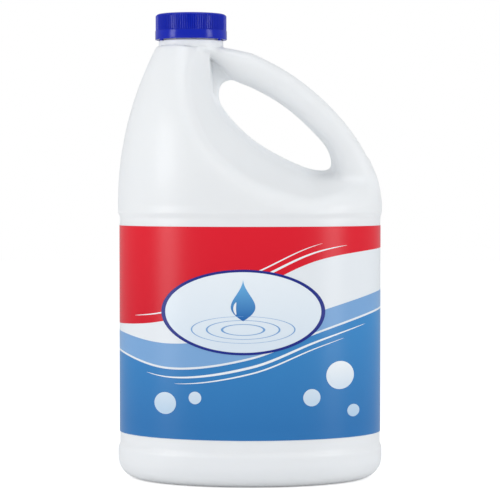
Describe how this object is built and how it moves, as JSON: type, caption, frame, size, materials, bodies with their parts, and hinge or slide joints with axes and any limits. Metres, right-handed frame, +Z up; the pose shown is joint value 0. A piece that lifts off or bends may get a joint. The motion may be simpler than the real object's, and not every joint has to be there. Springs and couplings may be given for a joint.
{
  "type": "bleach bottle",
  "caption": "Blow-moulded oval jug with an integral hollow side handle, offset neck, ribbed screw cap, foam liner and wrap-round printed film, filled with liquid.",
  "frame": {"origin": "centre of the oval base, on the surface that the bottle stands on", "axes": "+Z up, +X towards the handle, -Y towards the front of the label"},
  "size_m": [0.174, 0.13, 0.305],
  "materials": {
    "jug": "satin",
    "liquid": "gloss",
    "cap": "satin",
    "liner": "matte",
    "film": "gloss",
    "ink_blue": "gloss",
    "ink_red": "gloss",
    "ink_sky": "gloss",
    "ink_pale": "gloss",
    "ink_navy": "gloss",
    "ink_white": "gloss"
  },
  "bodies": {
    "jug": {"bottle": "jug", "liquid": "liquid", "label": "film", "print_blue_field": "ink_blue", "print_red_field": "ink_red", "print_sky_wave": "ink_sky", "print_pale_oval": "ink_pale", "print_navy_rim": "ink_navy", "print_white_drops": "ink_white"},
    "liner_disc": {"cap_liner": "liner"},
    "screw_cap": {"cap": "cap"}
  },
  "joints": [
    {"name": "cap_rise", "type": "slide", "parent": "jug", "child": "liner_disc", "axis": [0, 0, 1], "range_m": [0, 0.0186]},
    {"name": "cap_turn", "type": "hinge", "parent": "liner_disc", "child": "screw_cap", "pos_m": [-0.0388, 0, 0.2882], "axis": [0, 0, 1], "range_deg": [0, 1590]}
  ],
  "couplings": [
    {"joint": "cap_rise", "follows": "cap_turn", "m_per_rad": 0.00066845}
  ]
}
